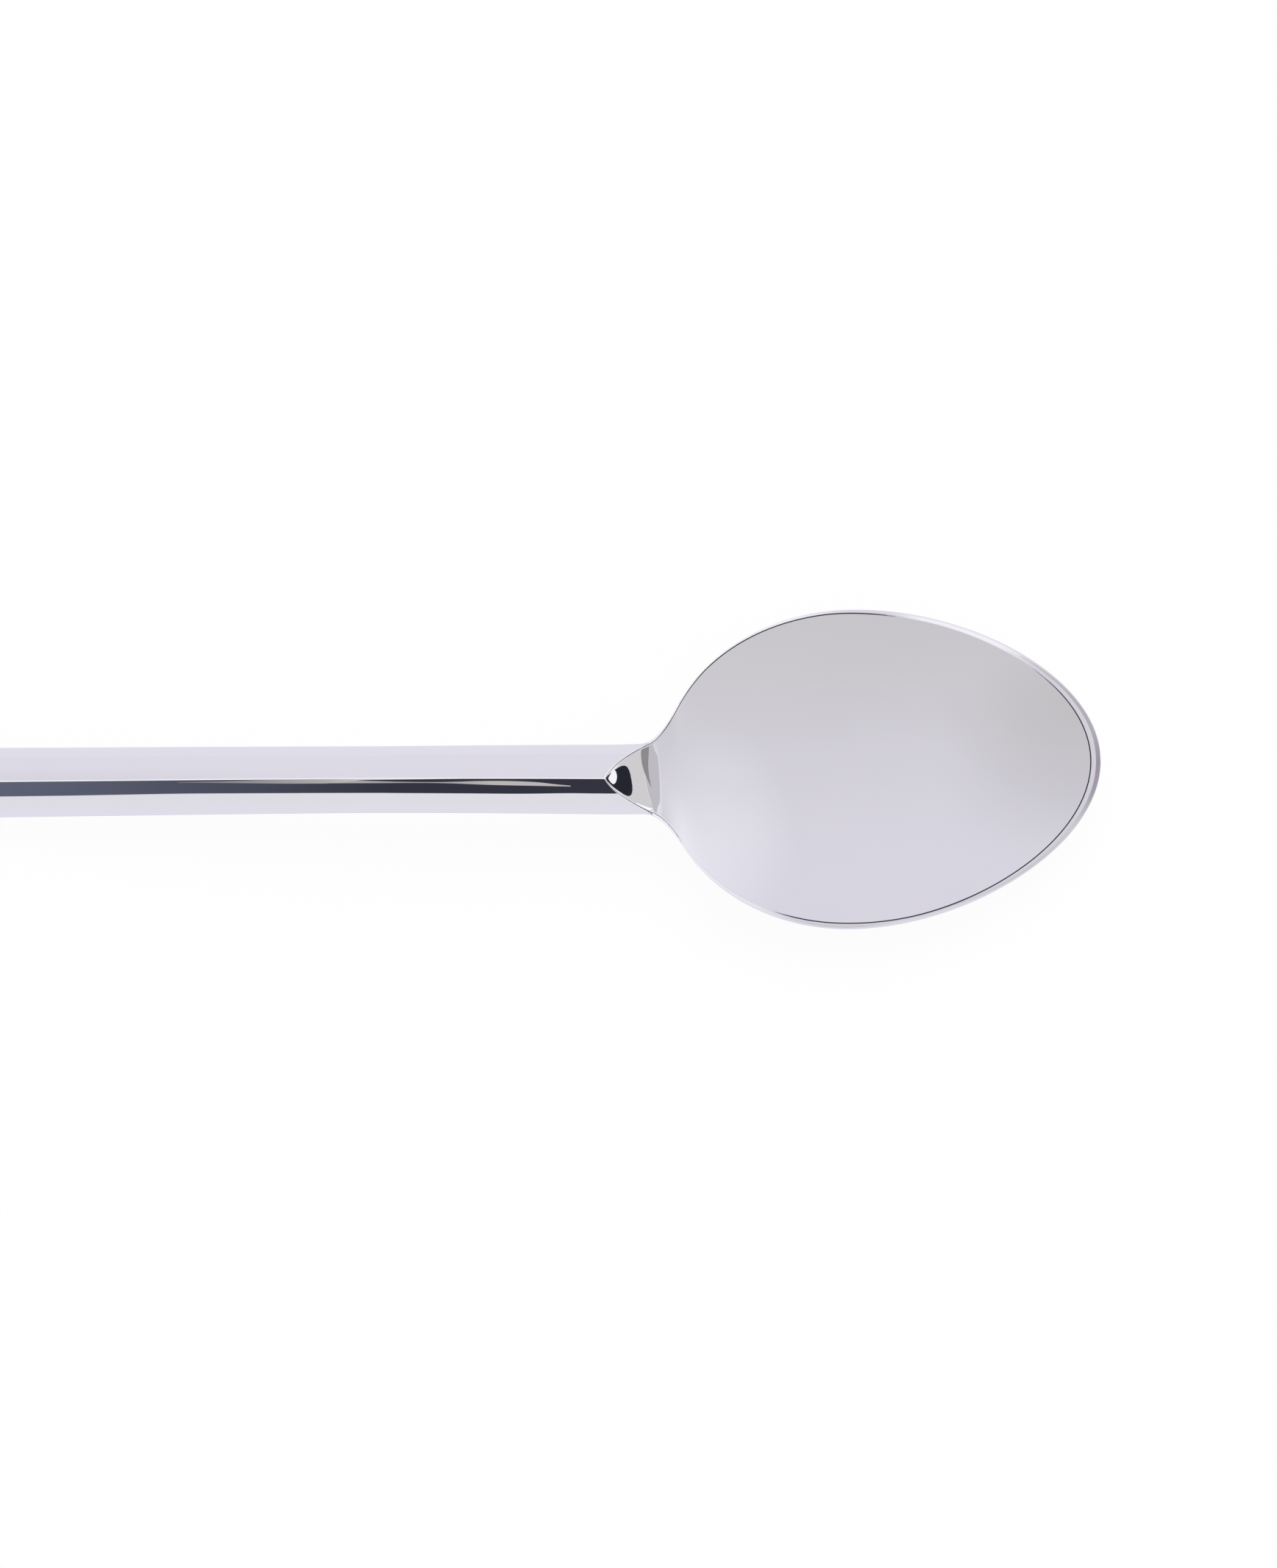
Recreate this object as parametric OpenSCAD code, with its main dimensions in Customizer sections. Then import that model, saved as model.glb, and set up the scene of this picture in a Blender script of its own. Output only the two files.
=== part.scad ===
// Dessert spoon with a hollow handle.
// A forged bowl has a solid root that plugs into a ridged handle made of two pressed half shells.
// X runs along the spoon with the bowl's tip at +X, Z is up, and the spoon lies on the plane Z = 0.
// Below, "s" is the distance along the spoon from the apex of the handle's mouth, positive to the tip.

/* [Overall] */
// Length from the apex of the handle's mouth to the tip of the bowl
bowl_length = 62.3; // [56:0.1:68]
// Length from the apex of the handle's mouth to the butt
handle_length = 120; // [95:1:140]

/* [Bowl] */
// Width across the outside of the rim
bowl_width = 40.2; // [36:0.2:46]
// Distance from the mouth's apex to the widest place of the bowl
widest_at = 30.8; // [28:0.1:33]
// Fullness of the outline between the widest place and the tip, 0 for a plain ellipse
tip_taper = 0.34; // [0:0.02:0.5]
// Depth of the hollow below the rim at the widest place
bowl_depth = 7.6; // [6:0.2:9]
// Thickness of the metal at the bottom of the bowl
sheet = 1.8; // [1.2:0.1:2.4]
// Height of the rim at the tip above the table
tip_rise = 9.2; // [8:0.2:11]
// Width of the rim's edge along the sides
rim_width = 0.85; // [0.6:0.05:1.2]
// Width of the rim's edge at the tip
tip_rim_width = 1.3; // [0.9:0.05:1.6]
// Height by which the rounded outside of the rim's edge falls below its crown
rim_drop = 0.45; // [0.2:0.05:0.7]
// Fullness of the bowl's cross-section, 2 for a parabola
section_power = 2.2; // [1.9:0.1:2.8]
// Slope of the hollow where it reaches the rim at the tip, in degrees
tip_slope = 32; // [20:1:38]
// Distance of the bowl's lowest place ahead of its widest place
lowest_ahead = 1.5; // [0:0.5:4]
// Length over which the back of the bowl grows out of the handle's belly
back_blend = 12; // [9:0.5:15]

/* [Ramp] */
// Length of the ramp from the mouth's apex down into the bowl
ramp_length = 6.8; // [6:0.2:8]
// Slope of the ramp at the mouth's apex, in degrees
ramp_start_slope = 40; // [37:1:44]
// Slope of the ramp where it meets the bowl, in degrees
ramp_end_slope = 30; // [26:1:34]
// Slope of the bowl's heel where the ramp meets it, in degrees
heel_slope = 22; // [18:1:28]
// Depth of the ramp's shallow dish, as a share of the ramp's half-width
ramp_dish = 0.05; // [0:0.01:0.08]

/* [Handle] */
// Width of the handle just behind the mouth
neck_width = 8.7; // [8:0.1:10]
// Width of the handle at its waist
waist_width = 8.3; // [7.6:0.1:9]
// Distance of the waist behind the mouth's apex
waist_at = 28; // [20:1:40]
// Width of the handle near the butt
butt_width = 9.3; // [8.4:0.1:12]
// Length over which the butt is rounded
butt_round = 7; // [4:0.5:10]
// Height of the ridge above the handle's parting line
ridge_height = 3.3; // [2.8:0.1:4]
// Slope of the two top faces beside the ridge, in degrees
ridge_slope = 14; // [8:1:20]
// Depth of the handle's rounded belly below the parting line
belly_depth = 3.2; // [2.6:0.1:4]
// Height of the parting line at the bowl's shoulders above the table
shoulder_rise = 11; // [10:0.2:12]
// Slope at which the handle rises away from the bowl, in degrees
neck_slope = 12; // [8:1:15]
// Angle by which the handle is set off the bowl's long axis, seen from above, in degrees
handle_set = 2.8; // [0:0.1:4]
// Length of the neck over which the handle turns to that angle
set_run = 6; // [4:0.5:10]
// Wall of the pressed half shells
wall = 0.8; // [0.6:0.05:1]

/* [Mouth] */
// Length of the handle's pointed mouth from its apex to the bowl's shoulders
mouth_length = 5.6; // [5:0.1:6.4]
// Sharpness of the mouth's apex, 0 for a round nose and 1 for a straight-sided point
mouth_point = 0.36; // [0.2:0.02:0.7]
// Width of the rim's edge where it starts at the shoulders
shoulder_rim_width = 0.35; // [0.25:0.05:0.5]
// Distance ahead of the shoulders at which the ellipse of the bowl's heel would close
heel_gap = 1.3; // [0.5:0.1:1.6]
// Distance behind the shoulders at which the neck starts to flare
flare_back = 1.1; // [0.6:0.1:2]
// Distance past the heel's end at which the flare runs into the heel
flare_run = 2.5; // [2:0.1:3.5]
// Length of the bowl's root inside the handle, behind the mouth's apex
root_length = 7; // [5:0.5:12]

/* [Joints] */
// Gap between the two half shells, filled with solder
seam_gap = 0.24; // [0.16:0.02:0.4]
// Gap between the root and the inside of the shells, filled with solder
root_gap = 0.16; // [0.1:0.02:0.24]
// Gap between the mouth of the shells and the step on the bowl
mouth_gap = 0.06; // [0.04:0.01:0.12]
// Clearance left on each side of a solder film
film_clearance = 0.02; // [0.01:0.005:0.03]

/* [Hidden] */

polished_steel = [0.78, 0.78, 0.81];
silver_solder = [0.7, 0.69, 0.66];

// Places along the spoon
origin_shift = (handle_length - bowl_length) / 2;
butt_s = -handle_length;
heel_start = mouth_length + heel_gap;
flare_start = mouth_length - flare_back;
flare_end = heel_start + flare_run;
inner_tip = bowl_length - tip_rim_width;
lowest_at = widest_at + lowest_ahead;

// Levels above the table
rim_at_widest = sheet + bowl_depth;
half_seam = seam_gap / 2;

// Counts of points: across a half section, and of rings along each stretch
across = 23;
root_rings = 6;
ramp_rings = 10;
bowl_rings = 30;
shell_rings = 34;
shell_across = 15;
tip_angle = 88.3;
// Distance from the butt to the first ring of a shell, and how far its rings crowd to both ends
first_ring = 0.08;
end_crowding = 0.85;
// Place of the rim's crown across its edge
crown_share = 0.45;
// Power by which the handle widens away from its waist
waist_power = 1.2;
// Share of the root's length that the film round it covers
film_share = 0.98;
// Least half-width of the hollow that is divided by
least_width = 0.001;
// Power by which the ramp's sides rise to the mouth's edge
ramp_wall_power = 30;

// Small mathematical helpers
function mix(a, b, t) = a + (b - a) * t;
function ease(t) = let (c = max(0, min(1, t))) c * c * (3 - 2 * c);
function curve(s, s0, z0, m0, s1, z1, m1) =
    let (span = s1 - s0, t = (s - s0) / span)
    z0 * (1 + 2 * t) * pow(1 - t, 2) + m0 * span * t * pow(1 - t, 2)
    + z1 * t * t * (3 - 2 * t) + m1 * span * t * t * (t - 1);
function through(s, a, b, c) =
    a[1] * (s - b[0]) * (s - c[0]) / ((a[0] - b[0]) * (a[0] - c[0]))
    + b[1] * (s - a[0]) * (s - c[0]) / ((b[0] - a[0]) * (b[0] - c[0]))
    + c[1] * (s - a[0]) * (s - b[0]) / ((c[0] - a[0]) * (c[0] - b[0]));

// Outline of the handle: half-width before its butt is rounded, and the rounding itself
function handle_half_width(s) =
    let (from_waist = s + waist_at)
    from_waist > 0
        ? mix(waist_width, neck_width, pow(from_waist / waist_at, waist_power)) / 2
        : mix(waist_width, butt_width, pow(-from_waist / (handle_length - waist_at), waist_power)) / 2;
function butt_rounding(from_butt) =
    from_butt >= butt_round ? 1 : sqrt(max(0, 1 - pow(1 - from_butt / butt_round, 2)));

// Outline of the bowl: an ellipse at the heel, a fuller curve at the tip, and a flare at the neck
function heel_half_width(s) =
    bowl_width / 2 * sqrt(max(0, 1 - pow((widest_at - s) / (widest_at - heel_start), 2)));
function heel_flank(s) =
    let (t = (widest_at - s) / (widest_at - heel_start))
    bowl_width / 2 * t / (widest_at - heel_start) / sqrt(1 - t * t);
function tip_half_width(s, half_width, end) =
    let (t = (s - widest_at) / (end - widest_at))
    half_width * sqrt(max(0, 1 - t * t * (1 + tip_taper * (1 - t))));
function outer_half_width(s) =
    s < flare_start ? handle_half_width(s)
    : s < flare_end ? curve(s, flare_start, handle_half_width(flare_start), 0,
                            flare_end, heel_half_width(flare_end), heel_flank(flare_end))
    : s < widest_at ? heel_half_width(s)
    : tip_half_width(s, bowl_width / 2, bowl_length);
function rim_edge(s) =
    mix(shoulder_rim_width, rim_width, ease((s - mouth_length) / (widest_at - mouth_length)));

// The mouth: how far its edge lies ahead of the apex at half-width y, and the other way round
mouth_half_width = outer_half_width(mouth_length) - shoulder_rim_width;
function mouth_s(y) =
    let (t = min(1, abs(y) / mouth_half_width))
    mouth_length * (mouth_point * t + (1 - mouth_point) * t * t);
function mouth_half_width_at(s) =
    let (blunt = 1 - mouth_point)
    mouth_half_width * (sqrt(pow(mouth_point, 2) + 4 * blunt * s / mouth_length) - mouth_point)
    / (2 * blunt);
function inner_half_width(s) =
    s < mouth_length ? mouth_half_width_at(s)
    : s < widest_at ? outer_half_width(s) - rim_edge(s)
    : tip_half_width(s, bowl_width / 2 - rim_width, inner_tip);

// Sideways shift of the handle's centre line, and the place of a point in the spoon's own frame
function sideways(s) =
    let (back = max(0, mouth_length - s))
    tan(handle_set) * (back < set_run ? back * back / (2 * set_run) : back - set_run / 2);
function placed(points) = [for (p = points) [p[0] + origin_shift, p[1] + sideways(p[0]), p[2]]];

// Heights along the handle: its parting line, and its top face at half-width y
function parting_z(s) =
    s < butt_s + butt_round ? belly_depth
    : curve(s, butt_s + butt_round, belly_depth, 0, mouth_length, shoulder_rise, -tan(neck_slope));
function face_shape(r) =
    let (straight = tan(ridge_slope) * neck_width / 2 / ridge_height)
    1 - straight * r - (1 - straight) * pow(r, 3);
function face_z(s, y) =
    parting_z(s) + half_seam
    + (ridge_height - half_seam) * face_shape(min(1, abs(y) / outer_half_width(s)));

// Heights of the hollow: its floor line, its rim, and the whole hollow
apex_z = face_z(0, 0);
function ramp_z(s) =
    apex_z - tan(ramp_start_slope) * s
    + (tan(ramp_start_slope) - tan(ramp_end_slope)) * s * s / (2 * ramp_length);
function floor_z(s) =
    s < ramp_length ? ramp_z(s)
    : s < lowest_at ? curve(s, ramp_length, ramp_z(ramp_length), -tan(heel_slope), lowest_at, sheet, 0)
    : curve(s, lowest_at, sheet, 0, inner_tip, tip_rise, tan(tip_slope));
function rim_z(s) =
    through(s, [mouth_length, shoulder_rise + half_seam], [widest_at, rim_at_widest],
            [bowl_length, tip_rise]);
shoulder_step = face_z(mouth_length, mouth_half_width) - rim_z(mouth_length);
function past_mouth(s) = ease((s - mouth_length) / (flare_end - mouth_length));
function edge_z(s) =
    s < mouth_length ? face_z(s, inner_half_width(s))
    : rim_z(s) + shoulder_step * (1 - past_mouth(s));
function hollow_z(s, y) =
    let (half = inner_half_width(s),
         t = min(1, abs(y) / max(least_width, half)),
         rise = edge_z(s) - floor_z(s),
         dish = min(ramp_dish * half, rise),
         ramp = dish * t * t + (rise - dish) * pow(t, ramp_wall_power))
    floor_z(s) + mix(ramp, rise * pow(t, section_power), past_mouth(s));

// Height of the back of the bowl at share r of its half-width, blended from the handle's belly
function back_z(s, r) =
    let (edge = mix(rim_z(s) - seam_gap, rim_z(s) - rim_drop, ease((s - mouth_length) / back_blend)),
         belly = edge - (belly_depth - half_seam) * sqrt(max(0, 1 - r * r)),
         bottom = floor_z(min(s, inner_tip)) - sheet,
         dish = mix(bottom, edge, pow(abs(r), section_power)))
    mix(belly, dish, ease((s - mouth_length) / back_blend));

// Points across: even shares for a top, and shares that crowd to the sides for a bottom
top_shares = [for (i = [0 : across - 1]) 2 * i / (across - 1) - 1];
bottom_shares = [for (i = [0 : across - 1]) sin(90 - 180 * i / (across - 1))];

// One ring of the root inside the shells, from its flat end (f = 0) to the step at the mouth (f = 1)
function root_ring(f, inset) =
    let (start = -root_length,
         side_s = mix(start, mouth_length + mouth_gap, f),
         side = outer_half_width(min(side_s, 0)) - inset)
    concat(
        [for (r = top_shares)
            let (s = mix(start, mouth_s(r * (neck_width / 2 - inset)) + mouth_gap, f),
                 half = outer_half_width(min(s, 0)) - inset)
            [s, r * half, parting_z(s) + half_seam
                + (ridge_height - half_seam - inset) * face_shape(abs(r))]],
        [[side_s, side, parting_z(side_s)]],
        [for (r = bottom_shares)
            [side_s, r * side, parting_z(side_s) - half_seam
                - (belly_depth - half_seam - inset) * sqrt(1 - r * r)]],
        [[side_s, -side, parting_z(side_s)]]);

// One ring of the bowl: its hollow, one crown point, its back, and the other crown point
function rim_crown(s_in, s_out, side) =
    let (s = mix(s_in, s_out, crown_share))
    [s, side * mix(inner_half_width(s_in), outer_half_width(s_out), crown_share), rim_z(s)];
function back_points(s) =
    [for (r = bottom_shares) [s, r * outer_half_width(s), back_z(s, r)]];
function ramp_ring(f) =
    let (edge = mix(mouth_length, flare_end, f) + mouth_gap)
    concat(
        [for (r = top_shares)
            let (y = r * inner_half_width(edge),
                 s = edge - pow(1 - f, 2) * (mouth_length - mouth_s(r * mouth_half_width)))
            [s, y, f == 0 ? face_z(s, y) : hollow_z(s, y)]],
        [rim_crown(edge, edge, 1)],
        back_points(edge),
        [rim_crown(edge, edge, -1)]);
function bowl_ring(angle) =
    let (s_in = widest_at + sin(angle) * (angle < 0 ? widest_at - flare_end : inner_tip - widest_at),
         s_out = widest_at + sin(angle) * (angle < 0 ? widest_at - flare_end : bowl_length - widest_at))
    concat(
        [for (r = top_shares) let (y = r * inner_half_width(s_in)) [s_in, y, hollow_z(s_in, y)]],
        [rim_crown(s_in, s_out, 1)],
        back_points(s_out),
        [rim_crown(s_in, s_out, -1)]);

// Faces between rings of points, and flat or fanned ends
function ring_faces(rings, size) =
    [for (i = [0 : rings - 2], k = [0 : size - 1])
        let (a = i * size + k, b = i * size + (k + 1) % size)
        each [[a, b, b + size], [a, b + size, a + size]]];
function fan(points) = [for (k = [1 : len(points) - 2]) [points[0], points[k], points[k + 1]]];
function backwards(list) = [for (k = [len(list) - 1 : -1 : 0]) list[k]];
function count_from(first, size) = [for (k = [0 : size - 1]) first + k];
function joined(lists) = [for (list = lists) each list];

// Solid through a row of rings, closed at both ends
module ring_solid(rings) {
    size = len(rings[0]);
    last = (len(rings) - 1) * size;
    faces = concat(
        ring_faces(len(rings), size),
        fan(backwards(count_from(0, size))),
        fan(count_from(last, size)));
    polyhedron(placed(joined(rings)), faces, convexity = 6);
}

// Forged bowl with its ramp, its step at the mouth and its solid root
module bowl() {
    color(polished_steel)
    ring_solid(concat(
        [for (i = [0 : root_rings]) root_ring(i / root_rings, wall + root_gap)],
        [for (i = [0 : ramp_rings - 1]) ramp_ring(i / ramp_rings)],
        [for (i = [0 : bowl_rings]) bowl_ring(mix(-90, tip_angle, i / bowl_rings))]));
}

// Stations along a shell, from near the butt to the mouth, crowded at both ends
shell_stations = [for (i = [0 : shell_rings]) i / shell_rings];
function shell_s(t, end, inset) =
    mix(butt_s + inset + first_ring, end, mix(t, ease(t), end_crowding));

// Points across one shell: its ridged top (side = 1) or its rounded belly (side = -1)
function shell_point(t, r, side, inset) =
    let (end = side > 0 ? mouth_s(r * (neck_width / 2 - inset)) : mouth_length,
         s = shell_s(t, end, inset),
         rounding = butt_rounding(s - butt_s - inset),
         half = (outer_half_width(s) - inset) * rounding,
         top = (ridge_height - half_seam - inset) * face_shape(abs(r)),
         belly = (belly_depth - half_seam - inset) * sqrt(max(0, 1 - r * r)))
    [s, r * half, parting_z(s) + side * (half_seam + rounding * (side > 0 ? top : belly))];
function shell_share(k, side) =
    let (t = 2 * k / (shell_across - 1) - 1)
    side > 0 ? t : sin(90 * t);
function shell_arc(t, side, inset) =
    [for (k = [0 : shell_across - 1]) shell_point(t, shell_share(k, side), side, inset)];

// Half shell: an outer and an inner skin, closed along the parting line, the mouth and the butt
module half_shell(side) {
    n = shell_across;
    rings = [for (t = shell_stations)
        concat(shell_arc(t, side, 0), backwards(shell_arc(t, side, wall)))];
    last = shell_rings * 2 * n;
    mouth = [for (k = [0 : n - 2])
        let (a = last + k, b = last + 2 * n - 1 - k)
        each [[a, a + 1, b - 1], [a, b - 1, b]]];
    butt = concat(
        fan(backwards(count_from(0, n))),
        fan(backwards(count_from(n, n))),
        fan([0, 2 * n - 1, n, n - 1]));
    skin = concat(ring_faces(shell_rings + 1, 2 * n), mouth, butt);
    faces = side > 0 ? skin : [for (f = skin) backwards(f)];
    polyhedron(placed(joined(rings)), faces, convexity = 6);
}

// Pressed upper half of the handle, with its ridge and its pointed mouth
module handle_top() {
    color(polished_steel) half_shell(1);
}

// Pressed lower half of the handle
module handle_bottom() {
    color(polished_steel) half_shell(-1);
}

// One cross-section of the solder line: outer and inner edge, above and below the parting line
function seam_point(t, side, inset, level) =
    let (s = shell_s(t, flare_start, inset),
         half = (outer_half_width(s) - inset) * butt_rounding(s - butt_s - inset))
    [s, side * half, parting_z(s) + level * (half_seam - film_clearance)];
function seam_section(t, side) =
    [for (p = [[0, 1], [wall, 1], [wall, -1], [0, -1]]) seam_point(t, side, p[0], p[1])];

// Line of solder along the parting line, from one side of the neck round the butt to the other
module seam_solder() {
    color(silver_solder)
    ring_solid(concat(
        [for (t = backwards(shell_stations)) seam_section(t, 1)],
        [for (t = shell_stations) seam_section(t, -1)]));
}

// Film of solder round the root, open at both ends
module root_solder() {
    shares = [for (i = [0 : root_rings]) film_share * i / root_rings];
    rings = concat(
        [for (f = shares) root_ring(f, wall + film_clearance)],
        [for (f = backwards(shares)) root_ring(f, wall + root_gap - film_clearance)]);
    size = len(rings[0]);
    last = (len(rings) - 1) * size;
    closing = [for (k = [0 : size - 1])
        let (a = last + k, b = last + (k + 1) % size)
        each [[a, b, (k + 1) % size], [a, (k + 1) % size, k]]];
    color(silver_solder)
    polyhedron(placed(joined(rings)), concat(ring_faces(len(rings), size), closing), convexity = 6);
}

bowl();
handle_top();
handle_bottom();
seam_solder();
root_solder();
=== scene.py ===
import math

import bpy
import numpy as np
from mathutils import Matrix, Vector


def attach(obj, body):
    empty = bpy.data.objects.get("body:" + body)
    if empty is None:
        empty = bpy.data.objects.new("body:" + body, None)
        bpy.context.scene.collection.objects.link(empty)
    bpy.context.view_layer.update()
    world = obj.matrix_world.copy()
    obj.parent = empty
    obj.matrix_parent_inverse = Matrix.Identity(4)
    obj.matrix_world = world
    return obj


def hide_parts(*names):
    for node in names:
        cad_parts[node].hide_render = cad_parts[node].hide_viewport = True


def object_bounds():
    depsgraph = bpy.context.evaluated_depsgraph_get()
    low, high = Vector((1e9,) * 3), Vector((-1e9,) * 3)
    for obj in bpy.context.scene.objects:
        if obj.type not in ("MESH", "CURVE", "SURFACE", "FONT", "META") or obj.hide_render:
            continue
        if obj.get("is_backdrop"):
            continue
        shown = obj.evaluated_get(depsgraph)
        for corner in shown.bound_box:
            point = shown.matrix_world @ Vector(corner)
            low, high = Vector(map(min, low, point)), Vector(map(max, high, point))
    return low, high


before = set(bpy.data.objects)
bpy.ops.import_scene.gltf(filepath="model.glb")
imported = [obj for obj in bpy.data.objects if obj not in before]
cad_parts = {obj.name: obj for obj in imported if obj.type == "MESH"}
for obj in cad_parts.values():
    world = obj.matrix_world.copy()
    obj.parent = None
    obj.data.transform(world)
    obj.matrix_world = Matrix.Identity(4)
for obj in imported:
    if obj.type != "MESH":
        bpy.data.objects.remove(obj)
cad_low, cad_high = (np.array(corner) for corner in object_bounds())

# The bowl is one forging of stainless steel: an egg-shaped hollow with a rounded rim, a steep ramp
# up to the handle's pointed mouth, and a solid root that is soldered into the handle. It is ground
# and buffed to a mirror. Along the spoon, s runs from the apex of the mouth, positive to the tip.
bowl_length = 0.0623
bowl_width = 0.0402
widest_at = 0.0308
tip_taper = 0.34
mouth_length = 0.0056
heel_start = mouth_length + 0.0013
flare_start = mouth_length - 0.0011
flare_end = heel_start + 0.0025
handle_length = 0.12
neck_width = 0.0087
waist_width = 0.0083
waist_at = 0.028
waist_power = 1.2
butt_width = 0.0093
apex_x = (handle_length - bowl_length) / 2


def mix(a, b, t):
    return a + (b - a) * t


def ease(t):
    c = np.clip(t, 0, 1)
    return c * c * (3 - 2 * c)


def passed(s, start, run):
    """0 before a place along the spoon, easing to 1 over a run past it."""
    return float(ease((s - start) / run))


def curve(s, s0, z0, m0, s1, z1, m1):
    """A smooth line between two places, each with its height and its slope."""
    span = s1 - s0
    t = (s - s0) / span
    start = z0 * (1 + 2 * t) * (1 - t) ** 2 + m0 * span * t * (1 - t) ** 2
    end = z1 * t * t * (3 - 2 * t) + m1 * span * t * t * (t - 1)
    return start + end


def handle_half_width(s):
    ahead = np.maximum((s + waist_at) / waist_at, 0) ** waist_power
    behind = np.maximum(-(s + waist_at) / (handle_length - waist_at), 0) ** waist_power
    return (waist_width + (neck_width - waist_width) * ahead + (butt_width - waist_width) * behind) / 2


def heel_half_width(s):
    t = (widest_at - s) / (widest_at - heel_start)
    return bowl_width / 2 * np.sqrt(np.maximum(0, 1 - t * t))


def tip_half_width(s, half_width, end):
    t = np.clip((s - widest_at) / (end - widest_at), 0, 1)
    return half_width * np.sqrt(np.maximum(0, 1 - t * t * (1 + tip_taper * (1 - t))))


heel_share = (widest_at - flare_end) / (widest_at - heel_start)
heel_flank = bowl_width / 2 * heel_share / (widest_at - heel_start) / math.sqrt(1 - heel_share ** 2)


def outer_half_width(s):
    """Half the spoon's width: the handle, a flare, the bowl's heel and its tip."""
    flare = curve(s, flare_start, handle_half_width(flare_start), 0,
                  flare_end, heel_half_width(flare_end), heel_flank)
    stretches = [s < flare_start, s < flare_end, s < widest_at]
    widths = [handle_half_width(s), flare, heel_half_width(s)]
    return np.select(stretches, widths, tip_half_width(s, bowl_width / 2, bowl_length))


rim_width = 0.0006
tip_rim_width = 0.0013
shoulder_rim_width = 0.00035
inner_tip = bowl_length - tip_rim_width


def rim_edge(s):
    """How wide the rim is, from the shoulders to the bowl's widest place."""
    return mix(shoulder_rim_width, rim_width, ease((s - mouth_length) / (widest_at - mouth_length)))


mouth_half_width = float(outer_half_width(np.array(mouth_length))) - shoulder_rim_width
mouth_point = 0.36


def mouth_s(y):
    """Where the pointed mouth ends along the spoon, at a distance from its middle."""
    t = np.minimum(1, np.abs(y) / mouth_half_width)
    return mouth_length * (mouth_point * t + (1 - mouth_point) * t * t)


def inner_half_width(s):
    """Half the width of the mouth, then of the hollow inside the rim."""
    blunt = 1 - mouth_point
    root = np.sqrt(mouth_point ** 2 + 4 * blunt * np.maximum(s, 0) / mouth_length)
    stretches = [s < mouth_length, s < widest_at]
    widths = [mouth_half_width * (root - mouth_point) / (2 * blunt), outer_half_width(s) - rim_edge(s)]
    return np.select(stretches, widths, tip_half_width(s, bowl_width / 2 - rim_width, inner_tip))


belly_depth = 0.0032
butt_round = 0.007
shoulder_rise = 0.011
neck_slope = math.tan(math.radians(12))


def parting_z(s):
    """Height of the line where the handle's two halves meet."""
    flat_end = butt_round - handle_length
    rise = curve(s, flat_end, belly_depth, 0, mouth_length, shoulder_rise, -neck_slope)
    return np.where(s < flat_end, belly_depth, rise)


half_seam = 0.00012
ridge_height = 0.0033
ridge_slope = math.tan(math.radians(14))
ridge_radius = 0.00009


def face_shape(r):
    """Height of the handle's face as a share of the ridge's, at a share of the half width."""
    straight = ridge_slope * neck_width / 2 / ridge_height
    return 1 - straight * r - (1 - straight) * r ** 3


def face_z(s, y):
    half = outer_half_width(s)
    worn = (np.sqrt(y * y + ridge_radius ** 2) - ridge_radius) / half
    return parting_z(s) + half_seam + (ridge_height - half_seam) * face_shape(np.minimum(1, worn))


apex_z = float(face_z(np.array(0.0), np.array(0.0)))
ramp_length = 0.0068
ramp_start_slope = math.tan(math.radians(40))
ramp_end_slope = math.tan(math.radians(30))
mouth_radius = 0.00014


def ramp_z(s):
    """Height of the ramp's middle line, which starts under the buffed edge of the mouth."""
    flattening = (ramp_start_slope - ramp_end_slope) * s * s / (2 * ramp_length)
    return apex_z - ramp_start_slope * s + flattening - mouth_radius * (1 - s / ramp_length) ** 2


heel_slope = math.tan(math.radians(22))
lowest_at = widest_at + 0.0015
sheet = 0.0018
tip_rise = 0.0092
tip_slope = math.tan(math.radians(32))


def floor_line(s):
    """Height of the hollow's middle line: the ramp, the heel and the rise to the tip."""
    heel = curve(s, ramp_length, ramp_z(ramp_length), -heel_slope, lowest_at, sheet, 0)
    tip = curve(s, lowest_at, sheet, 0, inner_tip, tip_rise, tip_slope)
    return np.select([s < ramp_length, s < lowest_at], [ramp_z(s), heel], tip)


foot_round = 0.00012
foot_shifts = np.linspace(-foot_round, foot_round, 9)


def floor_z(s):
    """Height of the hollow's middle line, with the edge at the ramp's foot rounded."""
    return sum(floor_line(s + shift) for shift in foot_shifts) / len(foot_shifts)


def through(s, a, b, c):
    """The curve of the second degree through three places, each with its height."""
    first = a[1] * (s - b[0]) * (s - c[0]) / ((a[0] - b[0]) * (a[0] - c[0]))
    second = b[1] * (s - a[0]) * (s - c[0]) / ((b[0] - a[0]) * (b[0] - c[0]))
    third = c[1] * (s - a[0]) * (s - b[0]) / ((c[0] - a[0]) * (c[0] - b[0]))
    return first + second + third


bowl_depth = 0.0076


def rim_z(s):
    return through(s, (mouth_length, shoulder_rise + half_seam), (widest_at, sheet + bowl_depth),
                   (bowl_length, tip_rise))


shoulder_easing = 0.1
shoulder_power = 6


def mouth_easing(share):
    """How far the buffed edge of the mouth falls below the handle's face, less at the shoulders."""
    return mouth_radius * mix(1, shoulder_easing, np.abs(share) ** shoulder_power)


shoulder_z = float(face_z(np.array(mouth_length), np.array(mouth_half_width)) - mouth_easing(1.0))
shoulder_step = shoulder_z - rim_z(mouth_length)


def past_mouth(s):
    return ease((s - mouth_length) / (flare_end - mouth_length))


def edge_z(s):
    """Height of the hollow's edge: the mouth's own edge, then the rim, with the shoulders between."""
    half = inner_half_width(s)
    mouth = face_z(s, half) - mouth_easing(np.minimum(1, half / mouth_half_width))
    return np.where(s < mouth_length, mouth, rim_z(s) + shoulder_step * (1 - past_mouth(s)))


ramp_dish = 0.05
ramp_wall_power = 100.0
section_power = 2.2
least_width = 1e-6


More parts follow.
